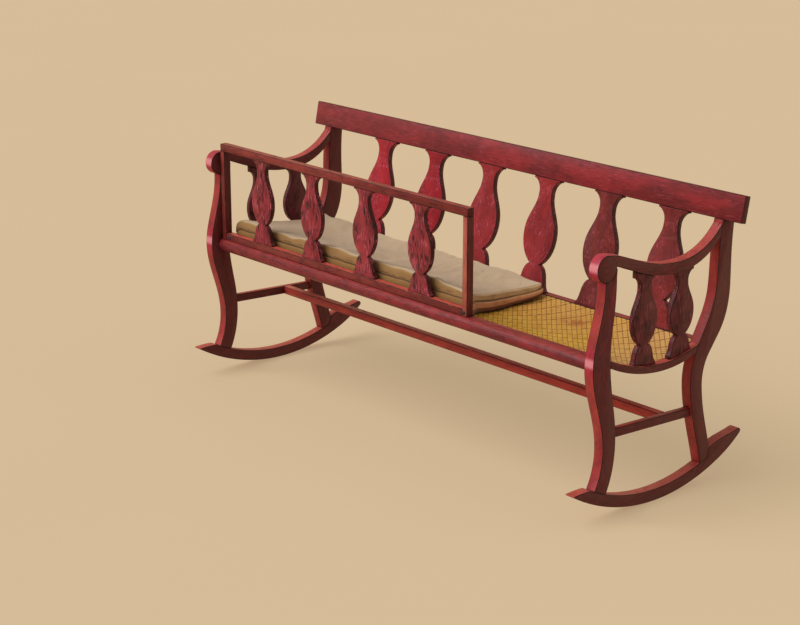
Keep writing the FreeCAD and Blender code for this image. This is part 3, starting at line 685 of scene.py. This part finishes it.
def cane_shadow():
    """The strands' shaded edges and undersides."""
    m = Nodes("cane_underside")
    tone = m.ramp(m.noise((90, 90, 90), 2, 0.5, 3.0), 0.35, 0.65)
    m.color(m.mix(tone, cane_colors["under"], cane_colors["under_pale"]))
    m.set("Roughness", 0.8)
    return m.material


def strip(shape, stations, width, edges):
    """A flat strip through stations of (place, across, up), with dark slopes of given widths at its edges,
    painted shade in the second material.
    """
    half = width / 2
    rings = []
    for place, across, up in stations:
        ring = []
        for side, lift in ((-half, -0.5), (edges[0] - half, 0.5), (half - edges[1], 0.5), (half, -0.5)):
            ring.append(shape.verts.new(place + across * side + up * (lift * cane_strip)))
        rings.append(ring)
    for one, other in zip(rings, rings[1:]):
        for corner in range(4):
            following = (corner + 1) % 4
            face = shape.faces.new((one[corner], one[following], other[following], other[corner]))
            face.material_index = 0 if corner == 1 else 1
            face.smooth = True
    for ring in (rings[0][::-1], rings[-1]):
        shape.faces.new(ring).material_index = 1


def trimmed(shape, point, outward):
    """Cuts off what lies past a plane and closes the cut ends."""
    cut = bmesh.ops.bisect_plane(
        shape, geom=shape.verts[:] + shape.edges[:] + shape.faces[:], plane_co=point, plane_no=outward,
        clear_outer=True)
    edges = [e for e in cut["geom_cut"] if isinstance(e, bmesh.types.BMEdge)]
    for face in bmesh.ops.holes_fill(shape, edges=edges, sides=0)["faces"]:
        face.material_index = 1


def make_piece(name, shape, materials, body):
    """Turns a shape into a piece that rides on a body."""
    mesh = bpy.data.meshes.new(name)
    bmesh.ops.recalc_face_normals(shape, faces=shape.faces)
    shape.to_mesh(mesh)
    shape.free()
    for material in materials:
        mesh.materials.append(material)
    mesh.set_sharp_from_angle(angle=math.radians(smooth_angle))
    piece = bpy.data.objects.new(name, mesh)
    bpy.context.scene.collection.objects.link(piece)
    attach(piece, body)
    return piece


cane_low, cane_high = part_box("cane_seat")


def strand_places(offset, side, run, crossing):
    """Points along a strand, two for each band that crosses it, with their numbers."""
    reaches = [(y - offset * side.y) / run.y for y in (cane_low.y - cane_spare, cane_high.y + cane_spare)]
    start = math.floor(min(reaches) / crossing * 2)
    end = math.ceil(max(reaches) / crossing * 2)
    return [(half, side * offset + run * (crossing * half / 2)) for half in range(start, end + 1)]


def weave(count, crossing, run, phase, edge):
    """Bands of a few strands side by side, over and under the bands that cross them."""
    shape = bmesh.new()
    pitch = cane_pitch * count
    width = cane_pitch * (cane_share if count == 1 else band_share)
    side = Vector((-run.y, run.x, 0.0))
    corners = [Vector((x, y, 0.0)) for x in (-cane_end, cane_end) for y in (cane_low.y, cane_high.y)]
    first = math.floor(min(c.dot(side) for c in corners) / pitch) - 1
    last = math.ceil(max(c.dot(side) for c in corners) / pitch) + 1
    for index, member in ((i, m) for i in range(first, last + 1) for m in range(count)):
        wander = random.uniform(-cane_wander, cane_wander)
        offset = pitch * index + cane_pitch * (member - (count - 1) / 2 + wander)
        places = strand_places(offset, side, run, crossing)
        if min(abs(place.x) for half, place in places) > cane_end:
            continue
        stations = []
        for half, place in places:
            up = dish_up(place.y)
            lift = cane_wave * math.cos(math.pi * (half / 2 + index + phase))
            place.z = dish(place.y)
            across = up.cross(run).normalized()
            stations.append((place + up * (lift - cane_strip - cane_wave), across, up))
        low_edge = edge if member == 0 else cane_seam
        high_edge = edge if member == count - 1 else cane_seam
        strip(shape, stations, width, (low_edge, high_edge))
    for point, outward in (
            ((cane_end, 0, 0), (1, 0, 0)), ((-cane_end, 0, 0), (-1, 0, 0)),
            ((0, cane_low.y + cane_rim, 0), (0, -1, 0)), ((0, cane_high.y - cane_rim, 0), (0, 1, 0))):
        trimmed(shape, point, outward)
    return shape


under = cane_shadow()
for name, count, crossing, run, phase, edge in (
        ("cane_warp", 1, cane_pitch * cane_band, Vector((-half_root, half_root, 0.0)), 0.0, cane_edges[0]),
        ("cane_weft", cane_band, cane_pitch, Vector((half_root, half_root, 0.0)), 1.0, cane_edges[1])):
    strands = make_piece(
        name, weave(count, crossing, run, phase, edge), (cane_material(name + "_fibre", 5.0 * phase), under),
        "root")
    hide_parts("cane_seat")


def binding(low_x, high_x, low_y, high_y):
    """The flush strip that covers the strands' ends in the side rail's groove."""
    shape = bmesh.new()
    stations = []
    for index in range(binding_rows + 1):
        y = low_y + (high_y - low_y) * index / binding_rows
        place = Vector(((low_x + high_x) / 2, y, dish(y) - binding_sink))
        stations.append((place, Vector((1, 0, 0)), dish_up(y)))
    strip(shape, stations, high_x - low_x, (cane_seam, cane_seam))
    return shape


binding_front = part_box("front_post_right")[1].y + 0.001
binding_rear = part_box("rear_post_right")[0].y - 0.001
bound = cane_material("cane_binding", 9.0)
for name, low_x, high_x in (
        ("cane_binding_right", cane_end + binding_gap[0], cane_high.x - binding_gap[1]),
        ("cane_binding_left", cane_low.x + binding_gap[1], -cane_end - binding_gap[0])):
    edging = make_piece(
        name, binding(low_x, high_x, binding_front, binding_rear), (bound, under), "root")
    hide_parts("cane_seat")


# Dark round heads that pin the guard's foot
def pin_iron():
    m = Nodes("pin_iron")
    worn = m.ramp(m.noise((240, 240, 240), 2, 0.6, 1.0), 0.45, 0.65)
    m.color(m.mix(worn, iron_colors["dark"], iron_colors["worn"]))
    m.roughness(worn, 0.5, 0.35)
    m.bump(worn, 0.3, 0.0003)
    return m.material


def pin_head(shape, x, face_y, z):
    """A low dome on the rail's front face, with its foot sunk in."""
    profile = [(1.0, -0.4)]
    for ring in range(pin_rings):
        turn = math.pi / 2 * ring / pin_rings
        profile.append((math.cos(turn), math.sin(turn)))
    loops = []
    for radius, rise in profile:
        loop = []
        for step in range(pin_sides):
            turn = math.tau * step / pin_sides
            loop.append(shape.verts.new((
                x + pin_radius * radius * math.cos(turn), face_y - pin_rise * rise,
                z + pin_radius * radius * math.sin(turn))))
        loops.append(loop)
    for one, other in zip(loops, loops[1:]):
        for step in range(pin_sides):
            following = (step + 1) % pin_sides
            shape.faces.new((one[step], one[following], other[following], other[step])).smooth = True
    shape.faces.new(loops[0])
    shape.faces.new(loops[-1])


def pin_heads():
    """The heads of both pins, halfway up the rail."""
    shape = bmesh.new()
    rail_low, rail_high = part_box("guard_bottom_rail")
    for x in pin_places:
        pin_head(shape, x, rail_low.y, (rail_low.z + rail_high.z) / 2)
    make_piece("guard_pin_heads", shape, (pin_iron(),), "guard")


pin_heads()


# Mattress
def fabric(name):
    """Old ticking: clouded and blotted on top, with painted shade on its sloping rim and underside, painted
    light on its right end, another colour on its front, and a weave.
    """
    cloth = cloths[name]
    shift = cloth["shift"]
    m = Nodes(name)
    cloud = m.ramp(m.noise((6, 8, 8), 3, 0.55, shift), 0.42, 0.68)
    color = m.tint(cloth["top"], cloud, 0.45, cloth_marks["cloud"])
    blots = m.ramp(m.noise((46, 46, 46), 2, 0.5, shift + 4), 0.66, 0.74)
    color = m.tint(color, blots, 0.30, cloth_marks["blot"])
    # The sloping rim at the front and the right end takes its own colour; on the ticking it is darker, as
    # painted shade
    rim = m.math("MAXIMUM", m.facing("y", -0.06, -0.22), m.facing("x", 0.30, 0.45))
    color = m.mix(m.multiply(m.facing("z", 0.955, 0.86), rim), color, cloth["rim"])
    color = m.mix(m.facing("z", 0.62, 0.25), color, cloth["side"])
    # Painted light: the right end is lighter, against the shade it stands in
    color = m.mix(m.facing("x", 0.35, 0.75), color, cloth["end"])
    # Painted shade: the underside is darker
    color = m.mix(m.facing("z", 0.05, -0.30), color, cloth["under"])
    rubs = m.ramp(m.noise((14, 40, 60), 3, 0.6, shift + 8), 0.46, 0.68)
    color = m.tint(color, m.multiply(rubs, m.facing("z", 0.9, 0.5)), 0.35, cloth_marks["rub"])
    across = m.noise((900, 160, 900), 1, 0.5, shift + 2)
    length = m.noise((160, 900, 160), 1, 0.5, shift + 5)
    threads = m.multiply(across, length)
    color = m.tint(color, m.ramp(threads, 0.18, 0.36), 0.16, cloth_marks["thread"])
    m.color(color)
    m.set("Roughness", 0.92)
    m.set("Sheen Weight", 0.12)
    m.set("Specular IOR Level", 0.15)
    folds = m.noise((18, 26, 40), 3, 0.55, shift + 6, 0.6)
    m.bump(m.math("ADD", m.multiply(threads, 0.4), m.multiply(folds, 3.0)), 0.55, 0.0012)
    return m.material


def slab(name, x_range, y_range, depth, top_edge, low_edge):
    """A flat slab with rounded corners in plan and rounded rims, standing on z = 0."""
    shape = bmesh.new()
    bmesh.ops.create_cube(shape, size=1.0)
    for vertex in shape.verts:
        vertex.co.x = x_range[1] if vertex.co.x > 0 else x_range[0]
        vertex.co.y = y_range[1] if vertex.co.y > 0 else y_range[0]
        vertex.co.z = depth if vertex.co.z > 0 else 0.0
    middle = (x_range[0] + x_range[1]) / 2
    for end, corner in ((-1, corner_left), (1, corner_right)):
        upright = [e for e in shape.edges if abs(e.verts[0].co.z - e.verts[1].co.z) > depth / 2
                   and (e.verts[0].co.x - middle) * end > abs(middle - x_range[0]) * 0.9]
        bmesh.ops.bevel(
            shape, geom=upright, offset=corner, segments=8, profile=0.5, affect="EDGES", clamp_overlap=True)
    for height, width in ((depth, top_edge), (0.0, low_edge)):
        rim = [e for e in shape.edges if len(e.link_faces) == 2
               and all(abs(v.co.z - height) < 0.0001 for v in e.verts)
               and abs(e.link_faces[0].normal.z - e.link_faces[1].normal.z) > 0.5]
        bmesh.ops.bevel(
            shape, geom=rim, offset=width, segments=5, profile=0.5, affect="EDGES", clamp_overlap=True)
        shape.normal_update()
    mesh = bpy.data.meshes.new(name)
    shape.to_mesh(mesh)
    shape.free()
    piece = bpy.data.objects.new(name, mesh)
    bpy.context.scene.collection.objects.link(piece)
    return piece


def remesh(piece):
    """Gives a slab the small even faces that the cloth needs."""
    modifier = piece.modifiers.new("remesh", "REMESH")
    modifier.mode = "VOXEL"
    modifier.voxel_size = pad_voxel
    apply_modifiers(piece)


def inflate(piece, cap):
    """Blows the slab up as sewn cloth, each point moving no further than the cap."""
    start = [vertex.co.copy() for vertex in piece.data.vertices]
    cloth = piece.modifiers.new("cloth", "CLOTH")
    settings = cloth.settings
    settings.use_pressure = True
    settings.uniform_pressure_force = pad_pressure
    settings.effector_weights.gravity = 0.0
    settings.mass = cloth_mass
    settings.tension_stiffness = cloth_stiffness
    settings.compression_stiffness = cloth_stiffness
    settings.bending_stiffness = cloth_bending
    for step in range(1, cloth_frames + 1):
        bpy.context.scene.frame_set(step)
    graph = bpy.context.evaluated_depsgraph_get()
    moved = bpy.data.meshes.new_from_object(piece.evaluated_get(graph))
    piece.modifiers.clear()
    for vertex, before, after in zip(piece.data.vertices, start, moved.vertices):
        travel = after.co - before
        if travel.length > cap:
            travel = travel * (cap / travel.length)
        vertex.co = before + travel
    bpy.data.meshes.remove(moved)
    bpy.context.scene.frame_set(1)


def subdivide(piece):
    """Rounds a settled layer by one level of subdivision."""
    modifier = piece.modifiers.new("fine", "SUBSURF")
    modifier.levels = 1
    modifier.render_levels = 1
    apply_modifiers(piece)


def smooth_step(value, low, high):
    """A smooth step from 0 to 1 while the value goes from low to high."""
    share = min(max((value - low) / (high - low), 0.0), 1.0)
    return share * share * (3 - 2 * share)


def through(y, column):
    """A curve through the three rows of mattress sizes."""
    total = 0.0
    for one in pad_rows:
        weight = one[column]
        for other in pad_rows:
            if other is not one:
                weight *= (y - other[0]) / (one[0] - other[0])
        total += weight
    return total


def end_x(y):
    """Where the right end of the mattress lies, drawn in behind its front corner."""
    front = smooth_step(-y, 0.05, 0.215)
    rear = smooth_step(y, 0.03, 0.135)
    return end_waist + (end_front - end_waist) * front ** 1.3 + (end_rear - end_waist) * rear


mattress_low, mattress_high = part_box("mattress")
pad_front = mattress_low.y + 0.0015
pad_rear = mattress_high.y - 0.0015
pad_left = mattress_low.x + 0.001


def near_end(x, y):
    """1 at the right end of the mattress and 0 where its taper starts."""
    return 1.0 - smooth_step(end_x(y) - x, 0.0, end_taper)


def near_left(x):
    """1 at the left end of the mattress and 0 where its rounding starts."""
    return (1.0 - smooth_step(x - pad_left, 0.0, left_taper)) ** 1.3


def pinch(x, y):
    """Share of the thickness that is left, smallest at the rear corner of the right end."""
    return 1.0 - end_pinch * near_end(x, y) * smooth_step(y, 0.0, 0.13)


def curl(x, y):
    """How far the rear corner of the right end curls up off the seat."""
    return end_curl * near_end(x, y) * smooth_step(y, 0.02, 0.13)


def seam(x, y):
    """Height over the seat of the line between the two layers."""
    wave = seam_wave * noise.noise(Vector((x * 21, y * 21, 6.1)))
    return (through(y, 2) + wave - left_sink * near_left(x)) * pinch(x, y)


def crown(x, y):
    """Height over the seat of the top, thinner towards both ends."""
    rise = left_rise * smooth_step(-x, 0.48, 0.68) * smooth_step(y, -0.20, -0.06)
    depth = through(y, 1) * pinch(x, y) + rise - seam(x, y)
    return seam(x, y) + depth * (1.0 - end_thinning * near_end(x, y)) * (1.0 - left_thinning * near_left(x))


def lumps(x, y):
    """Old filling: broad lumps, waves, sunk creases, and a lump beside the left end."""
    broad = noise.noise(Vector((x * 6, y * 7, 3.1)))
    wave = noise.noise(Vector((x * 17, y * 6, 5.3)))
    crease = abs(noise.noise(Vector((x * 22 + y * 9, y * 17, 8.7))))
    low, full, end = lump_places
    left = smooth_step(-x, low, full) * (1.0 - smooth_step(-x, full, end) * 0.6)
    return broad * 1.2 + wave * 1.2 - crease * 0.7 + left * 1.1


def settle(piece, layer, low_surface, high_surface):
    """Fits the flat slab between two surfaces over the seat, with a drawn-in end, lumps and creases."""
    for vertex in piece.data.vertices:
        place = vertex.co
        y = min(max(place.y, cane_low.y), cane_high.y)
        share = place.z / layer["depth"]
        loose = smooth_step(share, 0.35, 1.0) * layer["rumple"]
        rise = loose * lumps(place.x, place.y)
        if place.x > bend_from:
            stretch = (end_x(place.y) - layer["setback"] - bend_from) / (end_front - bend_from)
            place.x = bend_from + (place.x - bend_from) * stretch
        rise *= 1.0 - 0.6 * near_end(place.x, y)
        low = layer_gap if low_surface is None else low_surface(place.x, y) - layer_overlap
        high = high_surface(place.x, y)
        place.y += loose * 0.5 * noise.noise(Vector((place.x * 13, 0.0, 2.2)))
        place.z = max(low + share * (high - low) + rise, layer_gap)
        place.z = min(place.z + curl(place.x, y) + dish(y), pad_highest)


def tube(shape, points, radius, sides=6):
    """A closed round tube through points that run mainly along x."""
    rings = []
    for point in points:
        rings.append([shape.verts.new(point + Vector((
            0.0, radius * math.cos(math.tau * side / sides), radius * math.sin(math.tau * side / sides))))
            for side in range(sides)])
    for one, other in zip(rings, rings[1:]):
        for side in range(sides):
            following = (side + 1) % sides
            shape.faces.new((one[side], one[following], other[following], other[side])).smooth = True
    shape.faces.new(rings[0])
    shape.faces.new(rings[-1][::-1])


def stitch_thread():
    m = Nodes("stitch_thread")
    twist = m.ramp(m.noise((700, 200, 200), 1, 0.5, 2.0), 0.4, 0.6)
    m.color(m.mix(twist, stitch_colors["dark"], stitch_colors["pale"]))
    m.set("Roughness", 0.85)
    m.bump(twist, 0.3, 0.0002)
    return m.material


def stitches(cloth):
    """Long uneven stitches along the front of the upper layer, just over its lower edge."""
    bpy.context.view_layer.update()
    surface = BVHTree.FromObject(cloth, bpy.context.evaluated_depsgraph_get())
    shape = bmesh.new()
    x = pad_left + stitch_ends[0]
    while x < end_front - stitch_ends[1]:
        length = random.uniform(*stitch_lengths)
        wander = random.uniform(-stitch_wander, stitch_wander)
        height = seam(x, pad_front) + dish(pad_front) + stitch_rise + wander
        points = []
        for index in range(stitch_runs + 1):
            start = Vector((x + length * index / stitch_runs, pad_front - 0.03, height))
            hit = surface.ray_cast(start, Vector((0, 1, 0)))[0]
            if hit is not None:
                sunk = stitch_radius * (1.2 if index in (0, stitch_runs) else 0.2)
                points.append(hit + Vector((0, sunk, 0)))
        if len(points) == stitch_runs + 1:
            tube(shape, points, stitch_radius)
        x += length + random.uniform(*stitch_gaps)
    make_piece("mattress_stitches", shape, (stitch_thread(),), "mattress")


def layer_slab(name, layer, materials):
    """A layer of the mattress as a flat slab, remeshed and swollen."""
    x_range = (pad_left + layer["inset_x"], end_front)
    y_range = (pad_front + layer["inset_y"], pad_rear - layer["inset_y"])
    piece = slab(name, x_range, y_range, layer["depth"], layer["top_edge"], layer["low_edge"])
    remesh(piece)
    for material in materials:
        piece.data.materials.append(material)
    # A second material makes the lower layer's bottom band darker, as painted shade under the mattress
    if len(materials) > 1:
        for polygon in piece.data.polygons:
            polygon.material_index = 1 if polygon.center.z < base_depth else 0
    inflate(piece, layer["cap"])
    return piece


def hold_in(piece):
    """Keeps a swollen layer within the mattress's front, rear, left end and underside."""
    for vertex in piece.data.vertices:
        vertex.co.y = min(max(vertex.co.y, pad_front), pad_rear)
        vertex.co.x = max(vertex.co.x, pad_left)
        vertex.co.z = max(vertex.co.z, 0.0)


def make_mattress():
    """The lower layer on the seat, the upper one on it, and the stitches along the upper one's front."""
    lower = layer_slab("mattress_lower", lower_layer, (fabric("lower_cloth"), fabric("base_shade_cloth")))
    settle(lower, lower_layer, None, seam)
    upper = layer_slab("mattress_upper", upper_layer, (fabric("ticking"),))
    hold_in(upper)
    settle(upper, upper_layer, seam, crown)
    for piece in (lower, upper):
        subdivide(piece)
        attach(piece, "mattress")
        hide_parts("mattress")
    stitches(upper)


make_mattress()


# Camera, light and floor
def make_camera():
    lens = bpy.data.cameras.new("camera")
    lens.lens = camera_lens
    lens.sensor_width = camera_sensor
    lens.sensor_fit = "HORIZONTAL"
    lens.clip_end = camera_reach
    camera = bpy.data.objects.new("camera", lens)
    camera.location = camera_place
    camera.rotation_euler = (math.radians(90.0 - camera_down), 0.0, math.radians(camera_turn))
    bpy.context.scene.collection.objects.link(camera)
    bpy.context.scene.camera = camera


def make_sun():
    """A broad soft key light, from the left and in front."""
    light = bpy.data.lights.new("key", "SUN")
    light.energy = sun_strength
    light.angle = math.radians(sun_spread)
    sun = bpy.data.objects.new("key", light)
    sun.rotation_euler = Vector(sun_from).to_track_quat("Z", "Y").to_euler()
    bpy.context.scene.collection.objects.link(sun)


def make_world():
    """Even light all round, and a plain backdrop where the camera or a reflection sees past the floor."""
    world = bpy.data.worlds.new("room")
    world.use_nodes = True
    tree = world.node_tree
    sky = tree.nodes["Background"]
    sky.inputs["Color"].default_value = sky_color
    sky.inputs["Strength"].default_value = sky_strength
    wall = tree.nodes.new("ShaderNodeBackground")
    wall.inputs["Color"].default_value = wall_color
    path = tree.nodes.new("ShaderNodeLightPath")
    seen = path.outputs["Is Camera Ray"]
    for ray in ("Is Glossy Ray", "Is Transmission Ray"):
        either = tree.nodes.new("ShaderNodeMath")
        either.operation = "MAXIMUM"
        tree.links.new(seen, either.inputs[0])
        tree.links.new(path.outputs[ray], either.inputs[1])
        seen = either.outputs[0]
    choice = tree.nodes.new("ShaderNodeMixShader")
    for source, target in zip((seen, sky.outputs[0], wall.outputs[0]), choice.inputs):
        tree.links.new(source, target)
    tree.links.new(choice.outputs[0], tree.nodes["World Output"].inputs["Surface"])
    bpy.context.scene.world = world


def floor_paper():
    """Plain warm paper, with a glow that keeps it pale under the object's shadow."""
    m = Nodes("floor_paper")
    m.color(m.mix(m.noise((0.8, 0.8, 0.8), 2), floor_colors["dark"], floor_colors["pale"]))
    m.set("Roughness", 0.95)
    m.set("Specular IOR Level", 0.05)
    m.set("Emission Color", floor_colors["glow"])
    m.set("Emission Strength", floor_glow)
    return m.material


def make_floor():
    mesh = bpy.data.meshes.new("floor")
    corners = [(x * floor_size, y * floor_size, 0) for x, y in ((-1, -1), (1, -1), (1, 1), (-1, 1))]
    mesh.from_pydata(corners, [], [(0, 1, 2, 3)])
    mesh.materials.append(floor_paper())
    floor = bpy.data.objects.new("floor", mesh)
    bpy.context.scene.collection.objects.link(floor)


make_camera()
make_sun()
make_world()
make_floor()
bpy.context.scene.view_settings.view_transform = "Standard"
